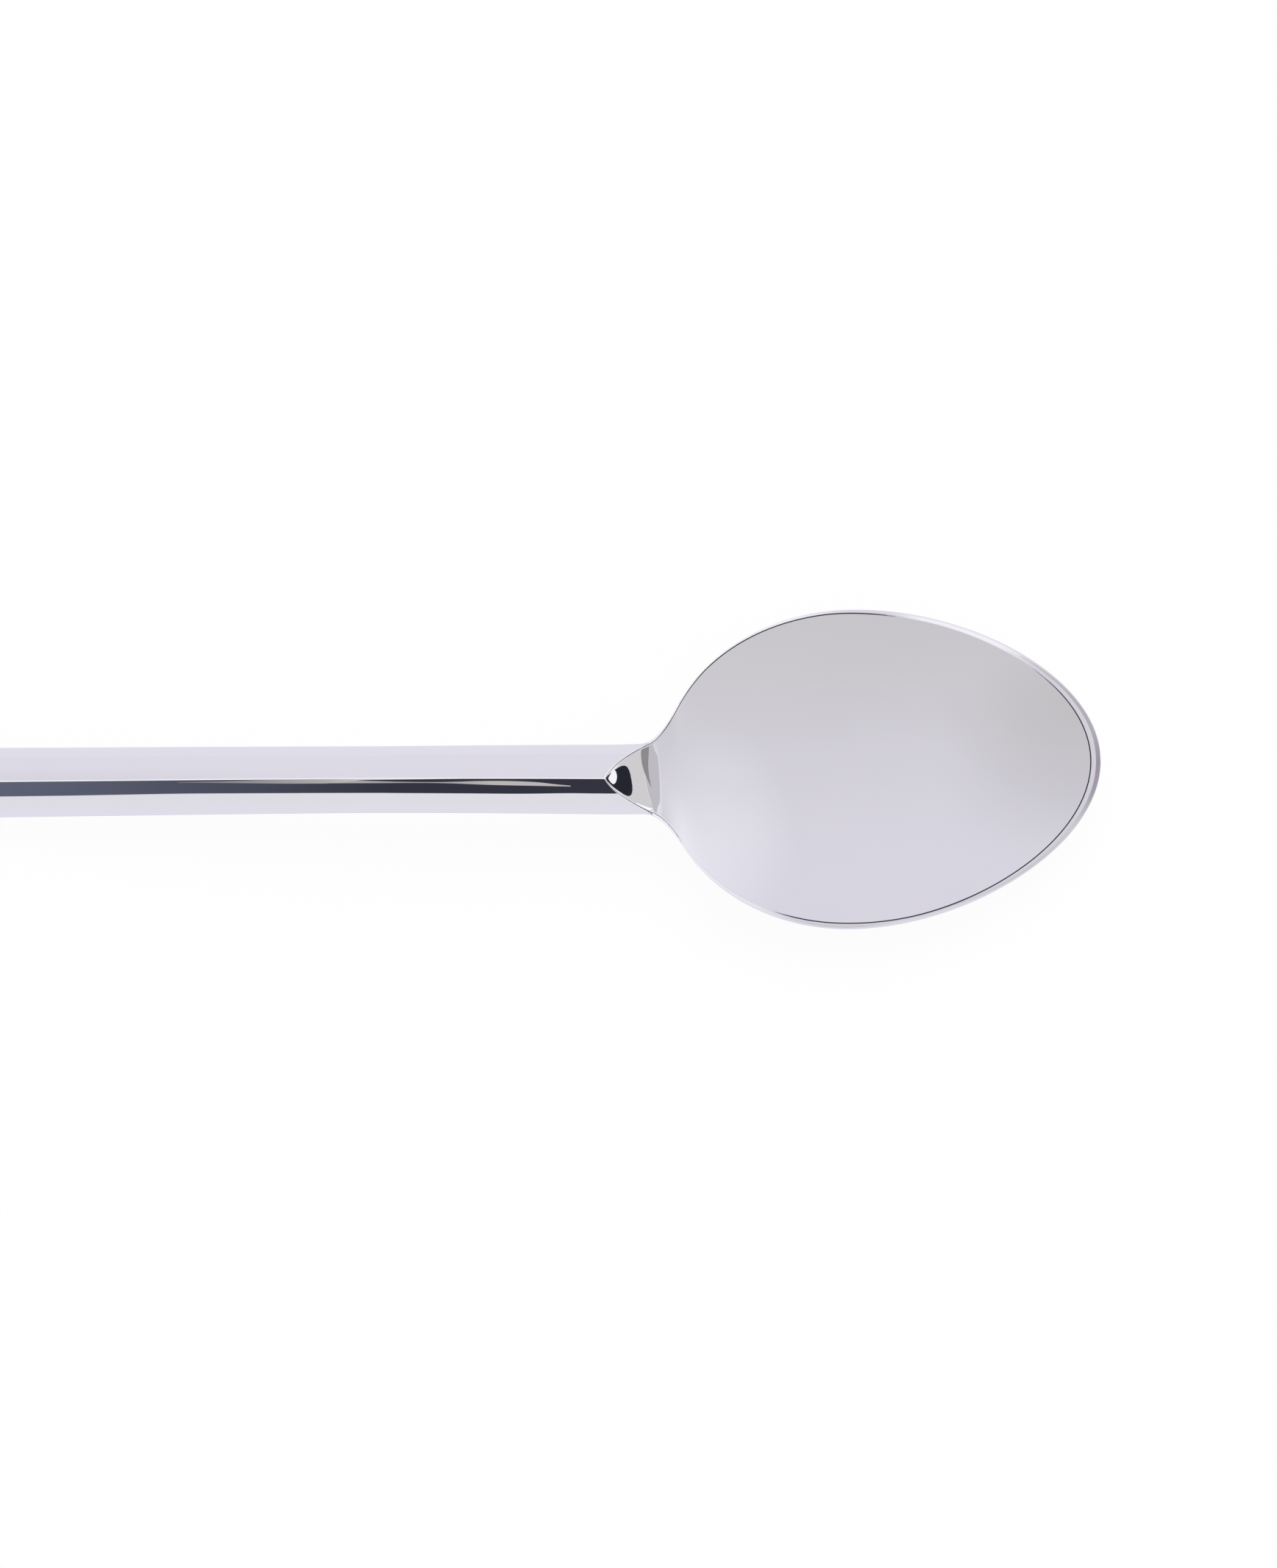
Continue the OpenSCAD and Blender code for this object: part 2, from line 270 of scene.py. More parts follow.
def hollow_z(s, y):
    """Height of the hollow: a shallow dish with steep sides on the ramp, then the bowl's own section."""
    half = np.maximum(inner_half_width(s), least_width)
    t = np.minimum(1, np.abs(y) / half)
    rise = edge_z(s) - floor_z(s)
    dish = np.minimum(ramp_dish * half, rise)
    ramp = dish * t ** 2 + (rise - dish) * t ** ramp_wall_power
    return floor_z(s) + mix(ramp, rise * t ** section_power, past_mouth(s))


rim_drop = 0.00045
back_blend = 0.012


def back_z(s, r):
    """Height of the spoon's back: the handle's belly, blended into the underside of the bowl."""
    grown = ease((s - mouth_length) / back_blend)
    edge = rim_z(s) - mix(2 * half_seam, rim_drop, grown)
    belly = edge - (belly_depth - half_seam) * np.sqrt(np.maximum(0, 1 - r * r))
    dish = mix(floor_z(np.minimum(s, inner_tip)) - sheet, edge, np.abs(r) ** section_power)
    return mix(belly, dish, grown)


handle_set = math.tan(math.radians(2.8))
set_run = 0.006


def set_off(s):
    """How far the handle stands off the bowl's axis."""
    back = np.maximum(0, mouth_length - s)
    return handle_set * np.where(back < set_run, back * back / (2 * set_run), back - set_run / 2)


def in_frame(s, y, z):
    """Places in the spoon's frame, with the handle set off the bowl's axis, inside the solid's box."""
    return np.clip(np.stack([s + apex_x, y + set_off(s), z], axis=-1), cad_low, cad_high)


weld_distance = 1e-7


def laid_grid(name, places, worn=None):
    """A grid primitive laid on rows of places, with doubled places welded and its marks for painted
    highlight and painted shade set.
    """
    rows, columns, _ = places.shape
    bpy.ops.object.select_all(action="DESELECT")
    bpy.ops.mesh.primitive_grid_add(x_subdivisions=columns - 1, y_subdivisions=rows - 1, size=1)
    piece = bpy.context.object
    piece.name = name
    piece.data.name = name
    piece.data.vertices.foreach_set("co", places.reshape(-1))
    if worn is not None:
        marks = piece.data.attributes.new("worn", "FLOAT", "POINT")
        marks.data.foreach_set("value", worn.reshape(-1))
    bpy.ops.object.mode_set(mode="EDIT")
    bpy.ops.mesh.select_all(action="SELECT")
    bpy.ops.mesh.remove_doubles(threshold=weld_distance)
    bpy.ops.mesh.normals_make_consistent(inside=False)
    bpy.ops.object.mode_set(mode="OBJECT")
    return piece


crease = math.radians(35)


def smoothed(piece):
    """Smooth a piece, apart from the edges that are sharper than the crease."""
    bpy.ops.object.select_all(action="DESELECT")
    piece.select_set(True)
    bpy.context.view_layer.objects.active = piece
    bpy.ops.object.shade_smooth_by_angle(angle=crease)


crowding = 0.9 * math.pi / 2
top_shares = np.sin(np.linspace(-crowding, crowding, 101)) / math.sin(crowding)
back_shares = np.sin(np.radians(np.linspace(90, -90, 71)))[1:-1]
land_steps = np.linspace(0, 1, 5)
chamfer_steps = np.linspace(0, 1, 9)[1:]

groove_half = 0.00008
groove_depth = 0.00026
far_groove_ends = (0.034, 0.006)
far_groove_returns = (0.051, 0.009)
near_groove_starts = (0.0185, 0.005)


def groove(s, side):
    """Depth of the fine line that the wheel leaves inside the rim; each end is a start and a run."""
    if side > 0:
        return groove_depth * (1 - passed(s, *far_groove_ends) + passed(s, *far_groove_returns))
    return groove_depth * passed(s, *near_groove_starts)


rim_skew = 0.00015
skew_starts = (flare_end, 0.004)
skew_ends = (0.028, 0.012)


def rim_shift(s):
    """How far the hollow sits towards the far side, so that the rim is narrower there round the heel."""
    return rim_skew * passed(s, *skew_starts) * (1 - passed(s, *skew_ends))


crown_share = 0.45
chamfer_flat = 0.8


def rim_side(place, side):
    """Points over the rim from its groove to the outside; place gives s and half-width at a share."""
    def over_rim(share):
        s, y = place(share)
        return s, y + side * rim_shift(s) * (1 - share)

    s0, y0 = over_rim(0)
    edge = float(edge_z(np.array(s0)))
    points = [(s0, y0, edge - groove(s0, side))]
    land = groove_half / max(place(1)[1] - y0, place(1)[0] - s0)
    for step in land_steps:
        share = mix(land, crown_share, step)
        s, y = over_rim(share)
        points.append((s, y, mix(edge, rim_z(s), share / crown_share)))
    for step in chamfer_steps:
        s, y = over_rim(mix(crown_share, 1, step))
        drop = mix(2 * half_seam, rim_drop, passed(s, mouth_length, back_blend))
        points.append((s, y, rim_z(s) - drop * mix(1 - math.sqrt(1 - step * step), step, chamfer_flat)))
    return np.array(points)


# Where the rim's land is painted bright as a highlight, fading down the chamfer.
land_highlight = np.concatenate([[0], np.ones(len(land_steps)), 1 - chamfer_steps])
far_bright_ends = (0.024, 0.008)
far_bright_returns = (0.036, 0.005)
far_bright_ends_again = (0.049, 0.006)
near_bright_fades = (0.009, 0.006)
near_bright_ends = (0.0175, 0.005)
near_bright_left = 0.6


def rim_painted_light(s, side):
    """Painted highlight on the rim: its land is painted bright round the heel and, on the far side, once
    more towards the tip. The groove's bottom gets painted shade, which counts below nought."""
    if side > 0:
        bright = 1 - passed(s, *far_bright_ends) + passed(s, *far_bright_returns)
        bright -= passed(s, *far_bright_ends_again)
    else:
        bright = mix(1, near_bright_left, passed(s, *near_bright_fades))
        bright -= near_bright_left * passed(s, *near_bright_ends)
    painted_light = land_highlight * bright
    # The groove's bottom is painted darker as shade.
    painted_light[0] = -groove(s, side) / groove_depth
    return painted_light


def closed_ring(top, place, back):
    """One ring of the bowl, as s, y, z and its mark for painted highlight and painted shade."""
    s = place(0)[0]
    far, near = rim_side(place, 1), rim_side(place, -1)[::-1] * (1, -1, 1)
    points = np.vstack([top, far, back, near, top[:1]])
    painted_light = [np.zeros(len(top)), rim_painted_light(s, 1), np.zeros(len(back)), rim_painted_light(s, -1)[::-1], [0]]
    return np.column_stack([points, np.concatenate(painted_light)])


mouth_gap = 0.00002


def ramp_ring(f):
    """A ring of the ramp, which follows the mouth at f of 0 and runs straight across at 1."""
    edge = mix(mouth_length, flare_end, f) + mouth_gap
    half = float(inner_half_width(np.array(edge))) - groove_half * f
    y = top_shares * half
    s = edge - (1 - f) ** 2 * (mouth_length - mouth_s(top_shares * mouth_half_width))
    z = face_z(s, y) - mouth_easing(top_shares) if f == 0 else hollow_z(s, y)
    land = float(rim_edge(np.array(edge)))
    outside = float(outer_half_width(np.array(edge)))
    back_s = np.full(len(back_shares), edge)
    back = np.stack([back_s, back_shares * outside, back_z(back_s, back_shares)], axis=-1)
    top = np.stack([s, y, z], axis=-1)
    return closed_ring(top, lambda share: (edge, outside - (1 - share) * land), back)


def bowl_ring(angle):
    """A ring of the bowl, at an angle from the heel at -90 degrees to the tip at 90."""
    t = math.sin(angle)

    def place(share, inset=0.0):
        if angle < 0:
            s = widest_at + t * (widest_at - flare_end)
            edge = (1 - share) * float(rim_edge(np.array(s)))
            return s, float(outer_half_width(np.array(s))) - edge - inset
        reach = bowl_length - (1 - share) * tip_rim_width - inset - widest_at
        half = bowl_width / 2 - (1 - share) * rim_width - inset
        return widest_at + t * reach, half * math.sqrt(max(0, 1 - t * t * (1 + tip_taper * (1 - t))))

    s, half = place(0, groove_half)
    top_s = np.full(len(top_shares), s)
    top = np.stack([top_s, top_shares * half + rim_shift(s), hollow_z(top_s, top_shares * half)], axis=-1)
    outer_s, outside = place(1)
    back_s = np.full(len(back_shares), outer_s)
    back = np.stack([back_s, back_shares * outside, back_z(back_s, back_shares)], axis=-1)
    return closed_ring(top, place, back)


root_length = 0.007
root_inset = 0.00096


def root_ring(f):
    """A ring of the root inside the handle, with as many points as the other rings."""
    side_s = mix(-root_length, mouth_length + mouth_gap, f)
    side = handle_half_width(min(side_s, 0.0)) - root_inset
    s = mix(-root_length, mouth_s(top_shares * (neck_width / 2 - root_inset)) + mouth_gap, f)
    y = top_shares * (handle_half_width(np.minimum(s, 0)) - root_inset)
    z = parting_z(s) + half_seam + (ridge_height - half_seam - root_inset) * face_shape(np.abs(top_shares))
    level = float(parting_z(np.array(side_s)))
    count = 1 + len(land_steps) + len(chamfer_steps)
    rim = np.stack([np.full(count, side_s), np.full(count, side),
                    level + half_seam * np.linspace(1, -1, count)], axis=-1)
    belly = (belly_depth - half_seam - root_inset) * np.sqrt(1 - back_shares ** 2)
    back_s = np.full(len(back_shares), side_s)
    back = np.stack([back_s, back_shares * side, level - half_seam - belly], axis=-1)
    top = np.stack([s, y, z], axis=-1)
    points = np.vstack([top, rim, back, rim[::-1] * (1, -1, 1), top[:1]])
    return np.column_stack([points, np.zeros(len(points))])


root_places = np.linspace(0, 1, 5)
ramp_crowding = 1.5
ramp_places = np.linspace(0, 1, 101)[:-1] ** ramp_crowding
bowl_angles = np.radians(np.linspace(-90, 90, 191))
rings = [root_ring(f) for f in root_places]
rings += [ramp_ring(f) for f in ramp_places]
rings += [bowl_ring(angle) for angle in bowl_angles]
rings = np.array(rings)
# The rings' fourth column marks painted highlight on the rim and painted shade in its groove.
bowl = laid_grid("bowl_forging", in_frame(rings[..., 0], rings[..., 1], rings[..., 2]), rings[..., 3])
bpy.ops.object.mode_set(mode="EDIT")
bpy.ops.mesh.select_all(action="SELECT")
bpy.ops.mesh.fill_holes(sides=0)
bpy.ops.mesh.select_all(action="SELECT")
bpy.ops.mesh.normals_make_consistent(inside=False)
bpy.ops.object.mode_set(mode="OBJECT")
smoothed(bowl)


hairline_stretch = (0.04, 1.0, 1.0)
uneven_from = 0.3
uneven_to = 0.7


def polish_group():
    """Buffed steel: long faint waves, hairlines along the spoon and a little uneven gloss."""
    group = bpy.data.node_groups.new("buffed_steel", "ShaderNodeTree")
    face = group.interface
    for socket, value in (("Wave Scale", 90.0), ("Hairline Scale", 900.0), ("Hairline Depth", 0.004),
                          ("Gloss Low", 0.03), ("Gloss High", 0.07)):
        face.new_socket(socket, in_out="INPUT", socket_type="NodeSocketFloat").default_value = value
    face.new_socket("Roughness", in_out="OUTPUT", socket_type="NodeSocketFloat")
    face.new_socket("Height", in_out="OUTPUT", socket_type="NodeSocketFloat")
    face.new_socket("Cloud", in_out="OUTPUT", socket_type="NodeSocketFloat")
    nodes, links = group.nodes, group.links
    inputs = nodes.new("NodeGroupInput")
    outputs = nodes.new("NodeGroupOutput")
    place = nodes.new("ShaderNodeTexCoord")
    waves = nodes.new("ShaderNodeTexNoise")
    waves.inputs["Detail"].default_value = 1.0
    links.new(place.outputs["Object"], waves.inputs["Vector"])
    links.new(inputs.outputs["Wave Scale"], waves.inputs["Scale"])
    stretch = nodes.new("ShaderNodeMapping")
    stretch.inputs["Scale"].default_value = hairline_stretch
    links.new(place.outputs["Object"], stretch.inputs["Vector"])
    hairlines = nodes.new("ShaderNodeTexNoise")
    hairlines.inputs["Detail"].default_value = 3.0
    links.new(stretch.outputs["Vector"], hairlines.inputs["Vector"])
    links.new(inputs.outputs["Hairline Scale"], hairlines.inputs["Scale"])
    fine = nodes.new("ShaderNodeMath")
    fine.operation = "MULTIPLY"
    links.new(hairlines.outputs["Fac"], fine.inputs[0])
    links.new(inputs.outputs["Hairline Depth"], fine.inputs[1])
    height = nodes.new("ShaderNodeMath")
    height.operation = "ADD"
    links.new(waves.outputs["Fac"], height.inputs[0])
    links.new(fine.outputs[0], height.inputs[1])
    links.new(height.outputs[0], outputs.inputs["Height"])
    gloss = nodes.new("ShaderNodeMapRange")
    links.new(hairlines.outputs["Fac"], gloss.inputs["Value"])
    gloss.inputs["From Min"].default_value = uneven_from
    gloss.inputs["From Max"].default_value = uneven_to
    links.new(inputs.outputs["Gloss Low"], gloss.inputs["To Min"])
    links.new(inputs.outputs["Gloss High"], gloss.inputs["To Max"])
    links.new(gloss.outputs["Result"], outputs.inputs["Roughness"])
    links.new(waves.outputs["Fac"], outputs.inputs["Cloud"])
    return group


buffed_steel = polish_group()
# Painted highlight and painted shade: the pale, rough colour paints the white highlight lines along the
# mouth's edge and the rim, and the dark colour paints shade into the rim's groove.
painted_highlight_colour = (0.99, 0.985, 0.995)
painted_highlight_roughness = 0.35
painted_shade_colour = (0.4, 0.4, 0.45)


def steel(name, pale, deep, wave_depth, gloss_low, gloss_high):
    """Mirror-polished steel between two near colours, with its waves as deep as given, in metres.
    Where the mesh's worn mark is above nought it is painted paler and rougher as a highlight, and where
    the mark is below nought it is painted darker as shade."""
    material = bpy.data.materials.new(name)
    material.use_nodes = True
    nodes, links = material.node_tree.nodes, material.node_tree.links
    shader = nodes["Principled BSDF"]
    shader.inputs["Metallic"].default_value = 1.0
    polish = nodes.new("ShaderNodeGroup")
    polish.node_tree = buffed_steel
    polish.inputs["Gloss Low"].default_value = gloss_low
    polish.inputs["Gloss High"].default_value = gloss_high
    tint = nodes.new("ShaderNodeMix")
    tint.data_type = "RGBA"
    tint.inputs["A"].default_value = (*pale, 1)
    tint.inputs["B"].default_value = (*deep, 1)
    links.new(polish.outputs["Cloud"], tint.inputs["Factor"])
    # The worn mark carries painted light: above nought it paints a highlight, below nought it paints
    # shade.
    worn = nodes.new("ShaderNodeAttribute")
    worn.attribute_name = "worn"
    bright = nodes.new("ShaderNodeMix")
    bright.data_type = "RGBA"
    bright.inputs["B"].default_value = (*painted_highlight_colour, 1)
    links.new(worn.outputs["Fac"], bright.inputs["Factor"])
    links.new(tint.outputs["Result"], bright.inputs["A"])
    painted_shade_share = nodes.new("ShaderNodeMath")
    painted_shade_share.operation = "MULTIPLY"
    painted_shade_share.use_clamp = True
    painted_shade_share.inputs[1].default_value = -1
    links.new(worn.outputs["Fac"], painted_shade_share.inputs[0])
    dimmed = nodes.new("ShaderNodeMix")
    dimmed.data_type = "RGBA"
    dimmed.inputs["B"].default_value = (*painted_shade_colour, 1)
    links.new(painted_shade_share.outputs["Value"], dimmed.inputs["Factor"])
    links.new(bright.outputs["Result"], dimmed.inputs["A"])
    links.new(dimmed.outputs["Result"], shader.inputs["Base Color"])
    scattered = nodes.new("ShaderNodeMix")
    scattered.inputs["B"].default_value = painted_highlight_roughness
    links.new(worn.outputs["Fac"], scattered.inputs["Factor"])
    links.new(polish.outputs["Roughness"], scattered.inputs["A"])
    links.new(scattered.outputs["Result"], shader.inputs["Roughness"])
    bump = nodes.new("ShaderNodeBump")
    bump.inputs["Strength"].default_value = 1.0
    bump.inputs["Distance"].default_value = wave_depth
    links.new(polish.outputs["Height"], bump.inputs["Height"])
    links.new(bump.outputs["Normal"], shader.inputs["Normal"])
    return material


bowl_steel = steel("bowl_steel", pale=(0.735, 0.728, 0.757), deep=(0.715, 0.71, 0.745),
                   wave_depth=0.00003, gloss_low=0.008, gloss_high=0.016)
bowl.data.materials.clear()
bowl.data.materials.append(bowl_steel)
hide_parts("bowl")
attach(bowl, "root")

# The handle's upper half is pressed from steel sheet: two faces rise to a crisp ridge, and its end
# is trimmed to the pointed mouth. It is soldered to the lower half and over the bowl's root, and
# its mouth edge is eased by the buffing wheel.
wall = 0.0008
lip_land = 0.00012
butt_angles = np.linspace(0, math.pi / 2, 25)
straight_rows = 260
mouth_steps = np.linspace(1, 0, 8)


def shell_stations(start, end, radius):
    """Distances along one line of a shell: round the butt, along the handle, over the mouth's edge."""
    butt = start + butt_round * (1 - np.cos(butt_angles))
    straight = np.linspace(butt[-1], end - radius - lip_land, straight_rows)[1:]
    return np.concatenate([butt, straight, end - radius * mouth_steps])


def butt_rounding(from_butt):
    """Share of the full width and height, at a distance from the round end of the handle."""
    return np.sqrt(np.maximum(0, 1 - np.maximum(0, 1 - from_butt / butt_round) ** 2))


def mouth_drop(s, end, radius):
    """How far the rounded edge of the mouth falls, near its end."""
    inside = np.clip(radius - (end - s), 0, radius)
    return radius - np.sqrt(np.maximum(0, radius ** 2 - inside ** 2))


def ridged_line(share, inset):
    """One line along the upper half, at a share of its width, on its outer skin or inset from it."""
    end = float(mouth_s(share * (neck_width / 2 - inset)))
    radius = mouth_easing(share)
    s = shell_stations(inset - handle_length, end, radius)
    rounding = butt_rounding(s + handle_length - inset)
    half = outer_half_width(s)
    height = face_z(s, share * half) - parting_z(s) - half_seam
    height = height * (1 - inset / (ridge_height - half_seam))
    z = parting_z(s) + half_seam + rounding * height - mouth_drop(s, end, radius)
    return np.stack([s, share * (half - inset) * rounding, z], axis=-1)


def pressed_shell(name, line, shares):
    """A half shell: its outer and inner skins, closed along the parting line and over the mouth."""
    outer = np.stack([line(share, 0.0) for share in shares], axis=1)
    inner = np.stack([line(share, wall) for share in shares], axis=1)
    lip = (outer[-1:] + inner[-1:]) / 2
    outer = np.concatenate([outer, lip])
    inner = np.concatenate([inner, lip])
    skin = np.concatenate([outer, inner[:, ::-1], outer[:, :1]], axis=1)
    worn = np.zeros(skin.shape[:2])
    # The outer rows over the mouth's edge are marked worn, which paints a pale highlight line along the
    # edge.
    worn[-len(mouth_steps) - 1:, :len(shares)] = 1
    return laid_grid(name, in_frame(skin[..., 0], skin[..., 1], skin[..., 2]), worn)


spread = np.linspace(-1, 1, 101)
ridge_crowding = 1.5
ridge_shares = np.sign(spread) * np.abs(spread) ** ridge_crowding
handle_top = pressed_shell("handle_top_shell", ridged_line, ridge_shares)
smoothed(handle_top)

handle_steel = steel("handle_steel", pale=(0.775, 0.768, 0.803), deep=(0.755, 0.75, 0.787),
                     wave_depth=0.00004, gloss_low=0.012, gloss_high=0.024)
handle_top.data.materials.clear()
handle_top.data.materials.append(handle_steel)
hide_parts("handle_top")
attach(handle_top, "root")

# The handle's lower half is pressed from the same sheet, with a plain rounded belly. Its mouth runs
# straight across under the bowl's shoulders.
def belly_line(share, inset):
    """One line along the lower half, at a share of its width, on its outer skin or inset from it."""
    s = shell_stations(inset - handle_length, mouth_length, mouth_radius)
    rounding = butt_rounding(s + handle_length - inset)
    belly = (belly_depth - half_seam - inset) * math.sqrt(max(0, 1 - share * share))
    z = parting_z(s) - half_seam - rounding * belly + mouth_drop(s, mouth_length, mouth_radius)
    return np.stack([s, share * (outer_half_width(s) - inset) * rounding, z], axis=-1)


round_shares = np.sin(np.linspace(-math.pi / 2, math.pi / 2, 81))
handle_bottom = pressed_shell("handle_bottom_shell", belly_line, round_shares)
smoothed(handle_bottom)
handle_bottom.data.materials.clear()
handle_bottom.data.materials.append(handle_steel)
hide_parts("handle_bottom")
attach(handle_bottom, "root")

# Silver solder fills the parting line of the two halves and the gap round the bowl's root. It is
# dressed flush and buffed with the handle, so only a hairline of a warmer, duller metal shows.
solder = steel("silver_solder", pale=(0.66, 0.645, 0.62), deep=(0.60, 0.585, 0.56),
               wave_depth=0.00002, gloss_low=0.16, gloss_high=0.3)
for name in ("seam_solder", "root_solder"):
    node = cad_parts[name]
    node.data.materials.clear()
    node.data.materials.append(solder)

# A pale floor carries the spoon. Camera and mirror rays see it as white paper, and the rest of it
# takes the light of the room, so that a soft shadow stays under the spoon.
floor_size = 4.0
paper_colour = (0.9, 0.9, 0.9)
paper_roughness = 0.9
paper_glow = 0.93
mirrored_white = (0.955, 0.942, 1.008)
bpy.ops.object.select_all(action="DESELECT")
bpy.ops.mesh.primitive_plane_add(size=floor_size)
floor = bpy.context.object
floor.name = "floor"
paper = bpy.data.materials.new("white_paper")
paper.use_nodes = True
nodes, links = paper.node_tree.nodes, paper.node_tree.links
shader = nodes["Principled BSDF"]
shader.inputs["Base Color"].default_value = (*paper_colour, 1)
shader.inputs["Roughness"].default_value = paper_roughness
shader.inputs["Specular IOR Level"].default_value = 0.0
path = nodes.new("ShaderNodeLightPath")
seen = nodes.new("ShaderNodeMath")
seen.operation = "MAXIMUM"
links.new(path.outputs["Is Camera Ray"], seen.inputs[0])
links.new(path.outputs["Is Glossy Ray"], seen.inputs[1])
seen_through = nodes.new("ShaderNodeMath")
seen_through.operation = "MAXIMUM"
links.new(seen.outputs[0], seen_through.inputs[0])
links.new(path.outputs["Is Transmission Ray"], seen_through.inputs[1])
share = nodes.new("ShaderNodeMath")
share.operation = "MULTIPLY"
share.inputs[1].default_value = paper_glow
links.new(seen_through.outputs[0], share.inputs[0])
shown = nodes.new("ShaderNodeMix")
shown.data_type = "RGBA"
shown.inputs["A"].default_value = (*mirrored_white, 1)
shown.inputs["B"].default_value = (1, 1, 1, 1)
links.new(path.outputs["Is Camera Ray"], shown.inputs["Factor"])
glow = nodes.new("ShaderNodeEmission")
links.new(shown.outputs["Result"], glow.inputs["Color"])
blend = nodes.new("ShaderNodeMixShader")
links.new(share.outputs[0], blend.inputs["Fac"])
links.new(shader.outputs["BSDF"], blend.inputs[1])
links.new(glow.outputs["Emission"], blend.inputs[2])
links.new(blend.outputs["Shader"], nodes["Material Output"].inputs["Surface"])
floor.data.materials.append(paper)
floor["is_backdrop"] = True

# The room is a white studio that the bowl mirrors: paler towards the far side, with a bright wall past
# the bowl's tip and a dimmer one behind the handle's end. The camera sees it white.
world = bpy.data.worlds.new("studio")
bpy.context.scene.world = world
world.use_nodes = True
nodes, links = world.node_tree.nodes, world.node_tree.links
nodes.clear()
direction = nodes.new("ShaderNodeTexCoord")


def towards(aim, least, most):
    """How far a direction of the room leans towards an aim, from 0 at least to 1 at most."""
    lean = nodes.new("ShaderNodeVectorMath")
    lean.operation = "DOT_PRODUCT"
    lean.inputs[1].default_value = aim
    links.new(direction.outputs["Generated"], lean.inputs[0])
    fade = nodes.new("ShaderNodeMapRange")
    fade.interpolation_type = "SMOOTHSTEP"
    fade.inputs["From Min"].default_value = least
    fade.inputs["From Max"].default_value = most
    links.new(lean.outputs["Value"], fade.inputs["Value"])
    return fade.outputs["Result"]


def painted(under, aim, least, most, colour, blend_type="MIX"):
    """The room's colour with another laid over it towards an aim."""
    paint = nodes.new("ShaderNodeMix")
    paint.data_type = "RGBA"
    paint.blend_type = blend_type
    paint.inputs["B"].default_value = (*colour, 1)
    links.new(towards(aim, least, most), paint.inputs["Factor"])
    links.new(under, paint.inputs["A"])
    return paint.outputs["Result"]


near_colour = (0.766, 0.747, 0.737)
far_colour = (0.937, 0.92, 0.987)
tip_wall_light = (0.232, 0.246, 0.241)
handle_wall_shade = (0.126, 0.125, 0.161)
near_wall = nodes.new("ShaderNodeRGB")
near_wall.outputs[0].default_value = (*near_colour, 1)
room = painted(near_wall.outputs[0], (-0.14, 0.99, 0.0), least=-1.69, most=0.89, colour=far_colour)
room = painted(room, (0.966, 0.259, 0.0), least=0.63, most=1.0, colour=tip_wall_light, blend_type="ADD")
room = painted(room, (-0.934, 0.0, 0.358), least=0.47, most=1.0, colour=handle_wall_shade,
               blend_type="SUBTRACT")
path = nodes.new("ShaderNodeLightPath")
shown = nodes.new("ShaderNodeMix")
shown.data_type = "RGBA"
shown.inputs["B"].default_value = (1, 1, 1, 1)
links.new(path.outputs["Is Camera Ray"], shown.inputs["Factor"])
links.new(room, shown.inputs["A"])
background = nodes.new("ShaderNodeBackground")
links.new(shown.outputs["Result"], background.inputs["Color"])
surface = nodes.new("ShaderNodeOutputWorld")
links.new(background.outputs["Background"], surface.inputs["Surface"])


# Studio flags and cards that only the mirror of the metal sees: a dark flag along the front of the
# handle with two pale streaks before it and white cards beside it, and past the bowl's tip a dark
# flag, a small lamp, a strip round the tip and grey cards.
def card_light(card, *colours, axis="X", start=0.0, end=1.0):
    """Let a card glow in one colour, or in a row of colours from start to end along an axis."""
    material = bpy.data.materials.new(card.name)
    material.use_nodes = True
    nodes, links = material.node_tree.nodes, material.node_tree.links
    nodes.clear()
    glow = nodes.new("ShaderNodeEmission")
    glow.inputs["Color"].default_value = (*colours[0], 1)
    if len(colours) > 1:
        place = nodes.new("ShaderNodeTexCoord")
        split = nodes.new("ShaderNodeSeparateXYZ")
        links.new(place.outputs["Object"], split.inputs[0])
        along = nodes.new("ShaderNodeMapRange")
        along.inputs["From Min"].default_value = start
        along.inputs["From Max"].default_value = end
        links.new(split.outputs[axis], along.inputs["Value"])
        fade = nodes.new("ShaderNodeValToRGB")
        steps = fade.color_ramp.elements
        for step in np.linspace(0, 1, len(colours))[1:-1]:
            steps.new(step)
        for step, colour in zip(steps, colours):
            step.color = (*colour, 1)
        links.new(along.outputs["Result"], fade.inputs["Fac"])
        links.new(fade.outputs["Color"], glow.inputs["Color"])
    surface = nodes.new("ShaderNodeOutputMaterial")
    links.new(glow.outputs["Emission"], surface.inputs["Surface"])
    card.data.materials.clear()
    card.data.materials.append(material)
    card.visible_camera = False
    card.visible_diffuse = False
    card.visible_shadow = False
    card.visible_transmission = False
    card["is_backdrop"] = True


strip_rows = 160
strip_columns = 12
bend_easing = 0.0025
bend_shifts = np.linspace(-bend_easing, bend_easing, 9)


def beside_handle(name, *stations, distance=0.012):
    """A strip along the handle through stations: a distance along it and two angles round its ridge,
    in degrees from straight up to the front."""
    along, low, high = np.array(stations).T
    s = np.linspace(along[0], along[-1], strip_rows)
    nearby = s + bend_shifts[:, None]
    low = np.interp(nearby, along, low).mean(axis=0)
    high = np.interp(nearby, along, high).mean(axis=0)
    ridge = parting_z(np.minimum(s, 0)) + ridge_height
    lines = []
    for share in np.linspace(0, 1, strip_columns):
        angle = np.radians(mix(low, high, share))
        y = set_off(s) - distance * np.sin(angle)
        lines.append(np.stack([s + apex_x, y, ridge + distance * np.cos(angle)], axis=-1))
    return laid_grid(name, np.stack(lines, axis=1))


